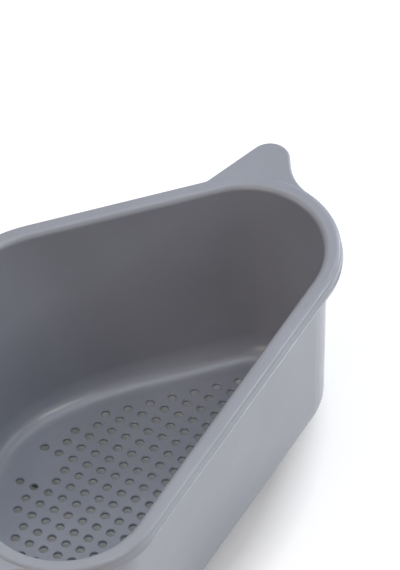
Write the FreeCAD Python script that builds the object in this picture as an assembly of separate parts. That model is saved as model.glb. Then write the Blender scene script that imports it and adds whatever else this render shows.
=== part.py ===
"""Corner caddy for a kitchen sink: a moulded basket that hangs on two suction cups.

Frame: +X along the straight front wall, +Y to the back corner, +Z up.  The origin is at the
middle of the caddy's footprint, on the surface that its feet stand on.  Millimetres.
"""
import FreeCAD
import Part
import math
import os

Vector = FreeCAD.Vector
UP = Vector(0, 0, 1)

# Basket, over the edge of its rim
rim_width = 180.0
height = 81.6
leg_angle = 45.0             # degrees between the front wall and either leg
front_radius = 32.7          # rounding of the two front corners
back_radius = 50.0           # rounding of the back corner

# Walls and floor of the basket
wall = 1.66                  # at the floor
wall_top = 1.05              # at the rim
wall_draft = 3.89            # degrees that the walls lean in towards the floor
floor_thickness = 1.0
floor_lift = 4.67            # top of the floor above the lower edge of the walls
floor_fillet = 8.15          # inside, between wall and floor
base_round = 12.2            # outside, between wall and lower edge
base_edge = 8.0              # from the wall's outer face to the hollow under the floor
floor_ease_radius = 139.4    # wide arc on which each leg starts to turn, low on the wall
floor_ease_angle = 14.57     # degrees turned on that arc
floor_back_radius = 48.55    # tighter arc behind it, at the back corner

# Rim: a flat flange with a lip turned down at its edge
rim_overhang = 4.65
rim_thickness = 1.8
lip_height = 4.9
lip_thickness = 1.6
rim_inner_round = 2.0
rim_outer_round = 1.68
bead_width = 0.3             # how far the bead at the lip's lower edge stands proud
bead_height = 0.6
bead_chamfer = 0.4           # slope on the bead's upper side

# Grip tabs on the two front corners
tab_reach = 7.91             # from the rim's edge to the middle of the tab's round tip
tab_direction = 16.7         # degrees from the front wall's line towards the back
tab_tip_radius = 6.8
tab_thickness = 2.2
tab_drop = 0.7               # top of the tab below the top of the rim
tab_back_angle = 19.6        # degrees that the back edge falls towards the tip
tab_front_angle = 33.8       # degrees that the front edge rises towards the tip
tab_front_blend = 17.4
tab_back_blend = 8.0
tab_edge_round = 0.8

# Drain holes
hole_diameter = 2.7
hole_pitch = 5.365
hole_chamfer = 0.3           # round the top of each hole
hole_margin = 2.9            # from a hole's middle to the edge of the flat floor
hole_row_offset = 15.35      # one of the rows, behind the middle of the footprint
hole_column_share = 0.5      # share of the pitch from the middle line to the first column

# Moulded feet
foot_height = 1.33           # under the lower edge of the walls
foot_diameter = 9.0
foot_round = 0.5
foot_margin = 8.2            # from a foot's middle to the edge of the hollow under the floor

# Slotted lugs on the legs, which take the heads of the suction cups' studs
stud_height = 42.0           # stud's axis above the surface, with its head at the top of the slot
stud_travel = 14.0           # how far the stud slides down towards the open end of the slot
lug_depth = 4.2              # front of the lug beyond the wall, at the rim
lug_plate = 2.0              # plate that holds the stud's head
lug_side = 2.6               # cheek on either side of the head
lug_cap = 3.0                # closed end above the head
lug_tail = 5.0               # slot below the head at the end of its travel
lug_round = 1.6
slot_clearance = 0.3

# Studs
head_diameter = 12.0
head_thickness = 2.2
neck_diameter = 6.0
collar_diameter = 11.0
collar_thickness = 1.5
pin_diameter = 5.0
pin_length = 5.2
barb_diameter = 6.4
barb_length = 2.0
stud_round = 0.4

# Suction cups
cup_diameter = 40.0
cup_edge = 0.9               # thickness of the sealing edge
cup_boss_diameter = 14.0
cup_boss_length = 4.6
cup_web = 1.2                # skin between the stud's pin and the hollow of the cup
cup_bulge = 0.5              # how far the back of the bell swells between boss and edge
cup_tab_width = 9.0
cup_tab_length = 6.0
cup_tab_thickness = 1.4
cup_tab_lift = 0.4           # gap between the pull tab and the sink wall
spin_clearance = 0.3
sink_clearance = 0.6         # between a grip tab and the sink wall that the cups stick to

overrun = 1.0                # how far each cut runs past the faces that it opens
touch = 0.01                 # points nearer than this are taken to lie on each other

# Plan of the rim, worked out from the sizes above
angle = math.radians(leg_angle)
ease = math.radians(floor_ease_angle)
slope = math.tan(math.radians(wall_draft))
half_base = rim_width / 2 + front_radius * (1 / math.tan(angle / 2) - 1)
rim_depth = half_base * math.tan(angle) - back_radius * (1 / math.cos(angle) - 1)
front_y = -rim_depth / 2
apex_y = front_y + half_base * math.tan(angle)
leg_normal_angle = math.pi / 2 - angle
corner_x = rim_width / 2 - front_radius
corner_y = front_y + front_radius
leg_line = apex_y * math.sin(leg_normal_angle)      # distance of a leg's rim edge from the axis

# Heights
underside = foot_height
floor_top = underside + floor_lift
floor_bottom = floor_top - floor_thickness
lip_bottom = height - lip_height


def polar(radius, turn):
    """Point in plan at a radius and an angle in radians."""
    return Vector(radius * math.cos(turn), radius * math.sin(turn), 0)


def flat(point):
    """The point's place in plan."""
    return Vector(point.x, point.y, 0)


def mirrored(shape):
    """The same shape on the other side of the caddy."""
    return shape.mirror(Vector(0, 0, 0), Vector(1, 0, 0))


def line(start, end):
    return Part.LineSegment(start, end).toShape()


def arc(start, middle, end):
    return Part.Arc(start, middle, end).toShape()


def outline(z, inset, eased, back):
    """Closed plan outline at height z: front line, front corners, legs and an eased back corner."""
    normal = leg_normal_angle
    radius = front_radius - inset
    corner = Vector(corner_x, corner_y, z)
    leg = corner.dot(polar(1, normal)) + radius
    back_y = (leg - eased + (eased - back) * math.cos(ease)) / math.sin(normal)
    back_middle = Vector(0, back_y, z)
    ease_middle = back_middle - polar(eased - back, normal + ease)

    def flip(point):
        return Vector(-point.x, point.y, point.z)

    front_end = corner + polar(radius, -math.pi / 2)
    corner_half = corner + polar(radius, (normal - math.pi / 2) / 2)
    leg_start = corner + polar(radius, normal)
    leg_end = ease_middle + polar(eased, normal)
    ease_half = ease_middle + polar(eased, normal + ease / 2)
    back_start = back_middle + polar(back, normal + ease)
    back_half = back_middle + polar(back, math.pi / 2)
    edges = [
        line(flip(front_end), front_end),
        arc(front_end, corner_half, leg_start),
        line(leg_start, leg_end),
        arc(leg_end, ease_half, back_start),
        arc(back_start, back_half, flip(back_start)),
        arc(flip(back_start), flip(ease_half), flip(leg_end)),
        line(flip(leg_end), flip(leg_start)),
        arc(flip(leg_start), flip(corner_half), flip(front_end)),
    ]
    return Part.Wire(edges)


def rim_outline(z, inset):
    """Outline of the rim's edge, moved in by inset."""
    back = back_radius - inset
    return outline(z, inset, back, back)


def wall_outline(z, depth):
    """Outline of the wall at height z, at a depth behind its outer face."""
    rise_share = (z - underside) / (height - underside)
    top_back = back_radius - rim_overhang
    inset = rim_overhang + (height - z) * slope + depth
    eased = floor_ease_radius + (top_back - floor_ease_radius) * rise_share - depth
    back = floor_back_radius + (top_back - floor_back_radius) * rise_share - depth
    return outline(z, inset, eased, back)


def edges_at(shape, z):
    """Edges of a shape that lie level at height z."""
    found = []
    for edge in shape.Edges:
        box = edge.BoundBox
        if abs(box.ZMin - z) < touch and abs(box.ZMax - z) < touch:
            found.append(edge)
    return found


def tub(bottom_depth, top_depth, bottom, top, rounding):
    """Solid inside the wall's face, at a depth for either end, rounded where it meets its bottom."""
    solid = Part.makeLoft([wall_outline(bottom, bottom_depth), wall_outline(top, top_depth)], True, True)
    return solid.makeFillet(rounding, edges_at(solid, bottom))


def slab(wire, thickness):
    """Solid of a flat outline, thickened upwards."""
    return Part.Face(wire).extrude(UP * thickness)


def turned(points):
    """Solid turned about the Z axis, from (radius, height) points."""
    corners = [Vector(radius, 0, z) for radius, z in points]
    wire = Part.makePolygon(corners + corners[:1])
    return Part.Face(wire).revolve(Vector(0, 0, 0), UP, 360)


def rim():
    """Flange and lip, with a rounded edge, a bead along the bottom and a hollow underside."""
    block = slab(rim_outline(lip_bottom, 0), lip_height)
    block = block.makeFillet(rim_outer_round, edges_at(block, height))
    bead = slab(rim_outline(lip_bottom, -bead_width), bead_height)
    bead = bead.makeChamfer(bead_chamfer, edges_at(bead, lip_bottom + bead_height))
    hollow = slab(rim_outline(lip_bottom - overrun, lip_thickness), lip_height + overrun - rim_thickness)
    return block.fuse(bead).cut(hollow)


def tab_tip():
    """Middle of the right tab's round tip, in plan."""
    middle = Vector(corner_x, corner_y, 0)
    return middle + polar(front_radius + tab_reach, math.radians(tab_direction))


def grip_tab():
    """Right grip tab: a tapered plate that grows out of the lip at the front corner."""
    tip = tab_tip()
    corner = Vector(corner_x, corner_y, 0)
    back_turn = math.radians(tab_back_angle)
    front_turn = math.radians(tab_front_angle)
    leg_way = polar(1, leg_normal_angle - math.pi / 2)
    leg_out = polar(1, leg_normal_angle)

    # Back edge: from the leg's rim edge to the tip, with a blend where it leaves the rim
    back_way = polar(1, -back_turn)
    back_tip = tip + polar(tab_tip_radius, math.pi / 2 - back_turn)
    run = (back_tip.dot(leg_out) - leg_line) / back_way.dot(leg_out)
    back_root = back_tip - back_way * run
    bend = math.acos(leg_way.dot(back_way))
    blend_run = tab_back_blend * math.tan(bend / 2)
    blend_start = back_root - leg_way * blend_run
    blend_end = back_root + back_way * blend_run
    blend_middle = blend_start + leg_out * tab_back_blend
    blend_half = blend_middle - (blend_middle - back_root).normalize() * tab_back_blend

    # Front edge: from the tip to a blend that meets the corner's round edge
    front_way = polar(1, front_turn)
    front_out = polar(1, front_turn - math.pi / 2)
    front_tip = tip + front_out * tab_tip_radius
    start = front_tip + front_out * tab_front_blend - corner
    reach = front_radius + tab_front_blend
    along = start.dot(front_way)
    step = along - math.sqrt(along ** 2 - start.dot(start) + reach ** 2)
    front_middle = corner + start - front_way * step
    to_corner = (corner - front_middle).normalize()
    front_start = front_middle - front_out * tab_front_blend
    front_root = front_middle + to_corner * tab_front_blend
    front_half = front_middle + (to_corner - front_out).normalize() * tab_front_blend

    # Root, inside the thickness of the lip and deeper than the rounding of the tab's edges
    root_depth = (lip_thickness + tab_edge_round) / 2
    root_front = front_root - (front_root - corner).normalize() * root_depth
    root_turn = math.atan2(root_front.y - corner.y, root_front.x - corner.x)
    root_radius = front_radius - root_depth
    root_half = corner + polar(root_radius, (root_turn + leg_normal_angle) / 2)
    root_leg = corner + polar(root_radius, leg_normal_angle)
    root_back = blend_start - leg_out * root_depth
    tip_half = tip + polar(tab_tip_radius, (front_turn - back_turn) / 2)
    wire = Part.Wire([
        line(root_back, blend_start),
        arc(blend_start, blend_half, blend_end),
        line(blend_end, back_tip),
        arc(back_tip, tip_half, front_tip),
        line(front_tip, front_start),
        arc(front_start, front_half, front_root),
        line(front_root, root_front),
        arc(root_front, root_half, root_leg),
        line(root_leg, root_back),
    ])
    plate = slab(wire, tab_thickness)
    within = Part.Face(rim_outline(0, 0))
    level = edges_at(plate, tab_thickness) + edges_at(plate, 0)
    free = [e for e in level if not within.isInside(flat(e.CenterOfMass), touch, True)]
    plate = plate.makeFillet(tab_edge_round, free)
    plate.translate(UP * (height - tab_drop - tab_thickness))
    return plate


def foot_spots():
    """Places of the three feet, at the corners of the hollow under the floor."""
    depth = base_edge + foot_margin
    inset = rim_overhang + (height - underside) * slope + depth
    back_y = wall_outline(underside, depth).BoundBox.YMax
    return [
        Vector(corner_x, front_y + inset, 0),
        Vector(-corner_x, front_y + inset, 0),
        Vector(0, back_y, 0),
    ]


def feet():
    """Three low feet that let the water out from under the floor."""
    made = []
    for spot in foot_spots():
        foot = Part.makeCylinder(foot_diameter / 2, (floor_bottom + floor_top) / 2, spot)
        made.append(foot.makeFillet(foot_round, edges_at(foot, 0)))
    return made


def drain_holes():
    """Field of holes in straight rows over the flat part of the floor, clear of the feet."""
    field = Part.Face(wall_outline(floor_top, wall + floor_fillet + hole_margin))
    foot_reach = foot_diameter / 2 + hole_diameter
    radius = hole_diameter / 2
    drill = turned([
        (0, -floor_thickness - overrun),
        (radius, -floor_thickness - overrun),
        (radius, -hole_chamfer),
        (radius + hole_chamfer + overrun, overrun),
        (0, overrun),
    ])
    columns = int(rim_width / hole_pitch)
    rows = int(rim_depth / hole_pitch)
    holes = []
    for column in range(-columns, columns):
        for row in range(-rows, rows + 1):
            across = (column + hole_column_share) * hole_pitch
            spot = Vector(across, hole_row_offset - row * hole_pitch, floor_top)
            on_floor = field.isInside(spot, touch, True)
            near_foot = any(flat(spot).distanceToPoint(foot) < foot_reach for foot in foot_spots())
            if on_floor and not near_foot:
                hole = drill.copy()
                hole.translate(spot)
                holes.append(hole)
    return holes


def leg_place():
    """Placement on the right leg: X along the leg, Y up, Z outwards, on the face of the lug."""
    top = rim_outline(height, 0)
    leg = top.OrderedEdges[2]
    middle = (leg.Vertexes[0].Point + leg.Vertexes[1].Point) / 2
    outward = polar(1, leg_normal_angle)
    face = middle - outward * (rim_overhang - lug_depth)
    face.z = stud_height
    sideways = UP.cross(outward)
    turn = FreeCAD.Rotation(sideways, UP, outward, "ZXY")
    return FreeCAD.Placement(face, turn)


def slot_shape(width, bottom, depth):
    """Slot with a round closed end about the stud's axis and an open end at the bottom."""
    half = width / 2
    wire = Part.Wire([
        line(Vector(-half, bottom, 0), Vector(half, bottom, 0)),
        line(Vector(half, bottom, 0), Vector(half, 0, 0)),
        arc(Vector(half, 0, 0), Vector(0, half, 0), Vector(-half, 0, 0)),
        line(Vector(-half, 0, 0), Vector(-half, bottom, 0)),
    ])
    return Part.Face(wire).extrude(Vector(0, 0, depth))


def lug():
    """Right lug: a thick plate with a T slot, open at the bottom, in the frame of leg_place."""
    channel = head_diameter + 2 * slot_clearance
    half_width = channel / 2 + lug_side
    top = channel / 2 + lug_cap
    bottom = -stud_travel - lug_tail
    wall_lean = (height - stud_height - bottom) * slope
    root = lug_depth + wall_lean + wall / 2
    block = Part.makeBox(2 * half_width, top - bottom, root, Vector(-half_width, bottom, -root))
    corners = [e for e in block.Edges if e.BoundBox.ZLength > root / 2]
    block = block.makeFillet(lug_round, corners)
    head_slot = slot_shape(channel, bottom - overrun, root - lug_plate + overrun)
    head_slot.translate(Vector(0, 0, -root - overrun))
    neck_slot = slot_shape(neck_diameter + 2 * slot_clearance, bottom - overrun, lug_plate + 2 * overrun)
    neck_slot.translate(Vector(0, 0, -lug_plate - overrun))
    return block.cut([head_slot, neck_slot])


def stud():
    """Stud: a flat head behind the lug's plate, a neck through the slot, a collar and a barbed pin."""
    head_in = -lug_plate - slot_clearance - head_thickness
    head_out = head_in + head_thickness
    collar_in = slot_clearance
    collar_out = collar_in + collar_thickness
    pin_out = collar_out + pin_length
    barb_in = pin_out - barb_length
    body = turned([
        (0, head_in),
        (head_diameter / 2 - stud_round, head_in),
        (head_diameter / 2, head_in + stud_round),
        (head_diameter / 2, head_out - stud_round),
        (head_diameter / 2 - stud_round, head_out),
        (neck_diameter / 2, head_out),
        (neck_diameter / 2, collar_in),
        (collar_diameter / 2 - stud_round, collar_in),
        (collar_diameter / 2, collar_in + stud_round),
        (collar_diameter / 2, collar_out),
        (pin_diameter / 2, collar_out),
        (pin_diameter / 2, barb_in),
        (barb_diameter / 2, barb_in),
        (pin_diameter / 2, pin_out),
        (0, pin_out),
    ])
    return body


def cup_reach():
    """Distance from the lug's face to the sink wall that the cup sticks to."""
    outward = polar(1, leg_normal_angle)
    tab_out = tab_tip().dot(outward) + tab_tip_radius - leg_line
    return tab_out + sink_clearance + rim_overhang - lug_depth


def suction_cup():
    """Soft cup that snaps over the stud's pin: a boss, a hollow bell with a thin edge and a pull tab."""
    seal = cup_reach()
    boss_in = slot_clearance + collar_thickness + spin_clearance
    boss_out = boss_in + cup_boss_length
    pin_out = slot_clearance + collar_thickness + pin_length
    barb_in = pin_out - barb_length - spin_clearance
    bore_end = pin_out + spin_clearance
    crown = bore_end + cup_web
    bore = pin_diameter / 2 + spin_clearance
    groove = barb_diameter / 2 + spin_clearance
    boss = cup_boss_diameter / 2
    edge = cup_diameter / 2
    mouth = edge - cup_edge
    hollow = seal - crown
    hollow_radius = (mouth ** 2 + hollow ** 2) / (2 * hollow)
    hollow_half = crown + hollow_radius - math.sqrt(hollow_radius ** 2 - (mouth / 2) ** 2)

    def at(radius, out):
        return Vector(radius, 0, out)

    bell_half = at((boss + edge) / 2, (boss_out + seal - cup_edge) / 2 - cup_bulge)
    wire = Part.Wire([
        line(at(bore, boss_in), at(boss, boss_in)),
        line(at(boss, boss_in), at(boss, boss_out)),
        arc(at(boss, boss_out), bell_half, at(edge, seal - cup_edge)),
        line(at(edge, seal - cup_edge), at(edge, seal)),
        line(at(edge, seal), at(mouth, seal)),
        arc(at(mouth, seal), at(mouth / 2, hollow_half), at(0, crown)),
        line(at(0, crown), at(0, bore_end)),
        line(at(0, bore_end), at(groove, bore_end)),
        line(at(groove, bore_end), at(groove, barb_in)),
        line(at(groove, barb_in), at(bore, barb_in)),
        line(at(bore, barb_in), at(bore, boss_in)),
    ])
    body = Part.Face(wire).revolve(Vector(0, 0, 0), UP, 360)

    # Pull tab on the upper side of the edge, with a round end
    half = cup_tab_width / 2
    root = edge - cup_tab_thickness
    tip = edge + cup_tab_length
    wire = Part.Wire([
        line(Vector(half, root, 0), Vector(half, tip - half, 0)),
        arc(Vector(half, tip - half, 0), Vector(0, tip, 0), Vector(-half, tip - half, 0)),
        line(Vector(-half, tip - half, 0), Vector(-half, root, 0)),
        line(Vector(-half, root, 0), Vector(half, root, 0)),
    ])
    tongue = slab(wire, cup_tab_thickness)
    tongue.translate(UP * (seal - cup_tab_lift - cup_tab_thickness))
    hollow_ball = Part.makeSphere(hollow_radius, at(0, crown + hollow_radius))
    return body.fuse(tongue.cut(hollow_ball)).removeSplitter()


def basket():
    """The one moulding: tub with a raised floor, rim, grip tabs, lugs, feet and drain holes."""
    shell = tub(0, 0, underside, height - rim_thickness / 2, base_round)
    below = wall_outline(underside - overrun, base_edge)
    shell = shell.cut(slab(below, floor_bottom - underside + overrun))
    right_lug = lug()
    right_lug.Placement = leg_place()
    tab = grip_tab()
    grown = [rim(), tab, mirrored(tab), right_lug, mirrored(right_lug)]
    body = shell.fuse(grown + feet())
    body = body.cut(tub(wall, wall_top, floor_top, height + overrun, floor_fillet))
    body = body.cut(drain_holes()).removeSplitter()
    mouth = Part.Face(rim_outline(height, rim_overhang))
    inner = [e for e in edges_at(body, height) if mouth.isInside(e.CenterOfMass, touch, True)]
    return body.makeFillet(rim_inner_round, inner)


def save(name, shape):
    """Write one piece, after making sure that it is a single sound solid."""
    solid = shape.Solids[0]
    if len(shape.Solids) != 1 or not solid.isValid():
        raise ValueError(name + " is not one sound solid")
    solid.exportStep(os.path.join("parts", name + ".step"))
    print(name, round(solid.Volume), "cubic mm,", len(solid.Faces), "faces")


os.makedirs("parts", exist_ok=True)
save("basket", basket())
for piece_name, piece in (("cup_stud", stud()), ("suction_cup", suction_cup())):
    piece.Placement = leg_place()
    save(piece_name + "_right", piece)
    save(piece_name + "_left", mirrored(piece))
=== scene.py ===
"""Looks of the sink caddy: its moulded plastic, its vinyl suction cups, the stage and the camera."""
import math

import bpy
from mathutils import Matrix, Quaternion, Vector

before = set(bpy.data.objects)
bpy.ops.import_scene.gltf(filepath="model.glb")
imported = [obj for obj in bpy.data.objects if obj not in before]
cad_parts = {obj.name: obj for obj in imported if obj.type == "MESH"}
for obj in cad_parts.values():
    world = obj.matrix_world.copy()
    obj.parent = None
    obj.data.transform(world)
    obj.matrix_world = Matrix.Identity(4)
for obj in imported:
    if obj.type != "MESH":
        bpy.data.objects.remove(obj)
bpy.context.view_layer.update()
scene = bpy.context.scene

# Camera: degrees round the caddy, above it and of tilt, the view's height, and the point it looks at
VIEW_TURN = -56.1728
VIEW_RISE = 49.7392
VIEW_TILT = -5.2
VIEW_HEIGHT = 0.185184
LENS = 1000.0
SENSOR = 36.0
AIM = (0.0429627, -0.0174474, 0.0751057)
CLIP_NEAR = 0.1
CLIP_FAR = 60.0

# Colours of the plastics, as the surface would look in plain white light
BASKET_COLOUR = (0.345, 0.362, 0.412)
STUD_COLOUR = (0.300, 0.318, 0.365)
CUP_COLOUR = (0.80, 0.845, 0.88)

# Noise patterns, each as a scale per metre and a detail, and the middle range of a noise's values
FLOW_CLOUDS = (34.0, 3.0)
SPECKLE = (800.0, 1.0)
GRAIN = (640.0, 1.0)
WAVES = (55.0, 1.0)
GLOSS_PATCHES = (120.0, 3.0)
VINYL_CLOUDS = (160.0, 2.0)
VINYL_SKIN = (300.0, 1.0)
VINYL_PATCHES = (240.0, 2.0)
NOISE_RANGE = (0.3, 0.7)

# Moulded plastic: range of its tones and roughness, and its relief in metres. A roughness range that
# crosses 0.274 comes out of the denoiser in blotches, so each range stays on one side of that value.
CLOUD_TONES = (0.965, 1.035)
SPECKLE_TONES = (0.992, 1.008)
PLASTIC_ROUGHNESS = (0.19, 0.25)
GRAIN_HEIGHT = 0.000004
WAVE_HEIGHT = 0.00012
PLASTIC_IOR = 1.49

# Vinyl of the cups: the same, and the share of light that it lets through
VINYL_TONES = (0.975, 1.02)
VINYL_ROUGHNESS = (0.28, 0.33)
SKIN_HEIGHT = 0.000012
VINYL_CLEARNESS = 0.5
VINYL_IOR = 1.46

# Floor: half its size, its drop below the feet, its colour, the oval under the caddy with the range of
# its soft edge, and the glow outside the oval and inside it. The lower glow inside the oval is painted
# shade on the floor under the caddy, seen through the drain holes.
FLOOR_HALF = 6.0
FLOOR_DROP = 0.0002
FLOOR_COLOUR = (0.80, 0.80, 0.80, 1.0)
SHADE_OVAL_SHIFT = (0.0, 0.14, 0.0)
SHADE_OVAL_SCALE = (12.0, 20.0, 0.0)
SHADE_OVAL_EDGE = (0.85, 1.15)
FLOOR_GLOW = 0.46
PAINTED_SHADE_GLOW = 0.086

# Light all round, the white of the background and the floor's glow, and the point that the lamps look at
WORLD_LIGHT = (0.06, 0.06, 0.06, 1.0)
WHITE = (1.0, 1.0, 1.0, 1.0)
LAMP_AIM = (0.0, 0.0, 0.04)

# Lamps: name, direction from the caddy, distance, width and height in metres, power and colour
LAMPS = (
    ("top_lamp", (0.11, -0.16, 0.98), 1.6, (0.45, 0.45), 0.9, (0.62, 0.74, 1.0)),
    ("back_right_lamp", (1.26, 0.15, 1.0), 1.8, (0.7, 0.7), 3.05, (0.71, 0.83, 1.0)),
    ("front_right_lamp", (0.56, -0.74, 0.38), 2.0, (0.28, 0.28), 2.3, (0.84, 0.91, 1.0)),
    ("tall_lamp", (0.54, -0.74, 0.42), 2.0, (0.8, 1.7), 6.6, (0.93, 0.97, 1.0)),
    ("front_high_lamp", (0.03, -0.53, 0.85), 1.7, (0.3, 0.3), 2.3, (1.0, 0.93, 0.86)),
    ("left_back_lamp", (-0.9, 1.0, 0.8), 1.8, (0.8, 0.8), 4.0, (1.0, 0.97, 0.97)),
    ("left_lamp", (-1.0, -0.1, 0.7), 1.8, (0.8, 0.8), 4.75, (1.0, 0.76, 0.54)),
    ("front_lamp", (-0.1, -1.0, 0.6), 1.8, (0.8, 0.8), 3.4, (0.91, 0.94, 1.0)),
    ("right_lamp", (1.0, -0.35, 0.25), 1.8, (0.7, 0.7), 8.0, (0.96, 0.98, 1.0)),
    ("wide_lamp", (0.2, 0.1, 1.0), 1.6, (1.6, 1.6), 9.7, (0.94, 0.96, 1.0)),
)


class Graph:
    """A material's nodes, with short calls to add and join them."""

    def __init__(self, name):
        self.material = bpy.data.materials.new(name)
        self.material.use_nodes = True
        self.tree = self.material.node_tree
        self.tree.nodes.clear()
        self.output = self.add("ShaderNodeOutputMaterial")
        self.place = self.add("ShaderNodeTexCoord").outputs["Object"]

    def add(self, kind, **values):
        node = self.tree.nodes.new(kind)
        for key, value in values.items():
            setattr(node, key, value)
        return node

    def join(self, source, target):
        self.tree.links.new(source, target)

    def noise(self, pattern):
        """A noise over the piece, of a pattern's scale and detail."""
        node = self.add("ShaderNodeTexNoise")
        self.join(self.place, node.inputs["Vector"])
        node.inputs["Scale"].default_value, node.inputs["Detail"].default_value = pattern
        return node.outputs["Fac"]

    def spread(self, value, ends, starts=NOISE_RANGE):
        """Maps a value from one range, by default a noise's middle range, to another."""
        node = self.add("ShaderNodeMapRange")
        self.join(value, node.inputs["Value"])
        node.inputs["From Min"].default_value, node.inputs["From Max"].default_value = starts
        node.inputs["To Min"].default_value, node.inputs["To Max"].default_value = ends
        return node.outputs["Result"]

    def multiply(self, first, second):
        node = self.add("ShaderNodeMath", operation="MULTIPLY")
        self.join(first, node.inputs[0])
        self.join(second, node.inputs[1])
        return node.outputs["Value"]

    def shade(self, colour, strength):
        """A colour made lighter or darker by a value near 1."""
        node = self.add("ShaderNodeVectorMath", operation="SCALE")
        node.inputs[0].default_value = colour
        self.join(strength, node.inputs["Scale"])
        return node.outputs["Vector"]

    def bump(self, pattern, distance, below=None):
        """Relief of a noise pattern, on top of another relief if there is one."""
        node = self.add("ShaderNodeBump")
        self.join(self.noise(pattern), node.inputs["Height"])
        node.inputs["Distance"].default_value = distance
        node.inputs["Strength"].default_value = 1.0
        if below is not None:
            self.join(below, node.inputs["Normal"])
        return node.outputs["Normal"]

    def surface(self, colour, roughness, normal, ior):
        """The piece's own shader, from a colour, a roughness and a relief."""
        shader = self.add("ShaderNodeBsdfPrincipled")
        self.join(colour, shader.inputs["Base Color"])
        self.join(roughness, shader.inputs["Roughness"])
        self.join(normal, shader.inputs["Normal"])
        shader.inputs["IOR"].default_value = ior
        self.join(shader.outputs["BSDF"], self.output.inputs["Surface"])
        return shader


def moulded_plastic(name, colour):
    """Satin moulded plastic: faint flow clouds and speckle, a fine grain, slight waves and uneven gloss."""
    graph = Graph(name)
    clouds = graph.spread(graph.noise(FLOW_CLOUDS), CLOUD_TONES)
    speckle = graph.spread(graph.noise(SPECKLE), SPECKLE_TONES)
    tone = graph.multiply(clouds, speckle)
    gloss = graph.spread(graph.noise(GLOSS_PATCHES), PLASTIC_ROUGHNESS)
    relief = graph.bump(WAVES, WAVE_HEIGHT, graph.bump(GRAIN, GRAIN_HEIGHT))
    graph.surface(graph.shade(colour, tone), gloss, relief, PLASTIC_IOR)
    return graph.material


def soft_vinyl(name, colour):
    """Smooth translucent vinyl with faint clouds and a slightly uneven skin."""
    graph = Graph(name)
    clouds = graph.spread(graph.noise(VINYL_CLOUDS), VINYL_TONES)
    gloss = graph.spread(graph.noise(VINYL_PATCHES), VINYL_ROUGHNESS)
    skin = graph.bump(VINYL_SKIN, SKIN_HEIGHT)
    shader = graph.surface(graph.shade(colour, clouds), gloss, skin, VINYL_IOR)
    shader.inputs["Transmission Weight"].default_value = VINYL_CLEARNESS
    return graph.material


def dress(node, material):
    """Gives a CAD node its material, all over."""
    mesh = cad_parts[node].data
    mesh.materials.clear()
    mesh.materials.append(material)


def seen_share(tree):
    """1 where the camera, a reflection or a see-through piece looks, and 0 for light on the object."""
    path = tree.nodes.new("ShaderNodeLightPath")
    total = path.outputs["Is Camera Ray"]
    for kind in ("Is Glossy Ray", "Is Transmission Ray"):
        node = tree.nodes.new("ShaderNodeMath")
        node.operation = "MAXIMUM"
        tree.links.new(total, node.inputs[0])
        tree.links.new(path.outputs[kind], node.inputs[1])
        total = node.outputs["Value"]
    return total


def make_world():
    """Even soft light from all round, and plain white where it is looked at."""
    world = bpy.data.worlds.new("studio")
    world.use_nodes = True
    tree = world.node_tree
    tree.nodes.clear()
    mix = tree.nodes.new("ShaderNodeMixShader")
    output = tree.nodes.new("ShaderNodeOutputWorld")
    tree.links.new(seen_share(tree), mix.inputs["Fac"])
    for slot, colour in ((1, WORLD_LIGHT), (2, WHITE)):
        light = tree.nodes.new("ShaderNodeBackground")
        light.inputs["Color"].default_value = colour
        light.inputs["Strength"].default_value = 1.0
        tree.links.new(light.outputs["Background"], mix.inputs[slot])
    tree.links.new(mix.outputs["Shader"], output.inputs["Surface"])
    scene.world = world


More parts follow.
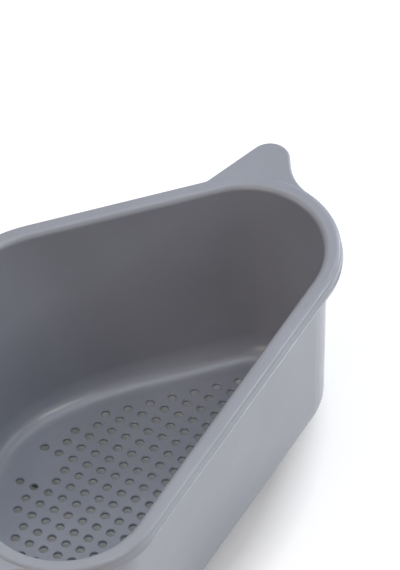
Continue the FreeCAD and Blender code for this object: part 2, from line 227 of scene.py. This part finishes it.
def make_floor():
    """A pale floor that keeps the caddy's shadow, white in full light, with painted shade that makes it
    grey right under the caddy.
    """
    corners = [(x * FLOOR_HALF, y * FLOOR_HALF, 0) for x, y in ((-1, -1), (1, -1), (1, 1), (-1, 1))]
    mesh = bpy.data.meshes.new("floor")
    mesh.from_pydata(corners, [], [(0, 1, 2, 3)])
    floor = bpy.data.objects.new("floor", mesh)
    floor.location.z = -FLOOR_DROP
    scene.collection.objects.link(floor)
    graph = Graph("floor_white")
    diffuse = graph.add("ShaderNodeBsdfDiffuse")
    diffuse.inputs["Color"].default_value = FLOOR_COLOUR
    shade_oval = graph.add("ShaderNodeMapping")
    graph.join(graph.place, shade_oval.inputs["Vector"])
    shade_oval.inputs["Location"].default_value = SHADE_OVAL_SHIFT
    shade_oval.inputs["Scale"].default_value = SHADE_OVAL_SCALE
    length = graph.add("ShaderNodeVectorMath", operation="LENGTH")
    graph.join(shade_oval.outputs["Vector"], length.inputs[0])
    # Painted shade: the glow that the camera sees is lowered inside the oval under the caddy
    glow_with_painted_shade = graph.spread(length.outputs["Value"], (PAINTED_SHADE_GLOW, FLOOR_GLOW), SHADE_OVAL_EDGE)
    glow = graph.add("ShaderNodeEmission")
    graph.join(graph.multiply(seen_share(graph.tree), glow_with_painted_shade), glow.inputs["Strength"])
    glow.inputs["Color"].default_value = WHITE
    both = graph.add("ShaderNodeAddShader")
    graph.join(diffuse.outputs["BSDF"], both.inputs[0])
    graph.join(glow.outputs["Emission"], both.inputs[1])
    graph.join(both.outputs["Shader"], graph.output.inputs["Surface"])
    mesh.materials.append(graph.material)


def soft_lamp(name, direction, distance, size, power, colour):
    """A flat soft lamp, of a width and a height, that points at the caddy."""
    lamp = bpy.data.lights.new(name, "AREA")
    lamp.shape = "RECTANGLE"
    lamp.size, lamp.size_y = size
    lamp.energy = power
    lamp.color = colour
    holder = bpy.data.objects.new(name, lamp)
    way = Vector(direction).normalized()
    holder.location = way * distance + Vector(LAMP_AIM)
    holder.rotation_mode = "QUATERNION"
    holder.rotation_quaternion = (-way).to_track_quat("-Z", "Y")
    holder.visible_camera = False
    scene.collection.objects.link(holder)


def make_camera():
    """A long lens, far away, so that lines that run side by side stay so."""
    data = bpy.data.cameras.new("camera")
    data.sensor_width = SENSOR
    data.lens = LENS
    data.clip_start = CLIP_NEAR
    data.clip_end = CLIP_FAR
    turn = math.radians(VIEW_TURN)
    rise = math.radians(VIEW_RISE)
    back = Vector((math.sin(turn) * math.cos(rise), -math.cos(turn) * math.cos(rise), math.sin(rise)))
    distance = LENS * VIEW_HEIGHT / SENSOR
    camera = bpy.data.objects.new("camera", data)
    camera.location = Vector(AIM) + back * distance
    camera.rotation_mode = "QUATERNION"
    level = (-back).to_track_quat("-Z", "Y")
    camera.rotation_quaternion = level @ Quaternion((0, 0, 1), math.radians(VIEW_TILT))
    scene.collection.objects.link(camera)
    scene.camera = camera


basket_plastic = moulded_plastic("basket_plastic", BASKET_COLOUR)
stud_plastic = moulded_plastic("stud_plastic", STUD_COLOUR)
cup_vinyl = soft_vinyl("cup_vinyl", CUP_COLOUR)
dress("basket", basket_plastic)
for side in ("left", "right"):
    dress("cup_stud_" + side, stud_plastic)
    dress("suction_cup_" + side, cup_vinyl)

make_world()
make_floor()
for lamp_values in LAMPS:
    soft_lamp(*lamp_values)
make_camera()
scene.view_settings.view_transform = "Standard"
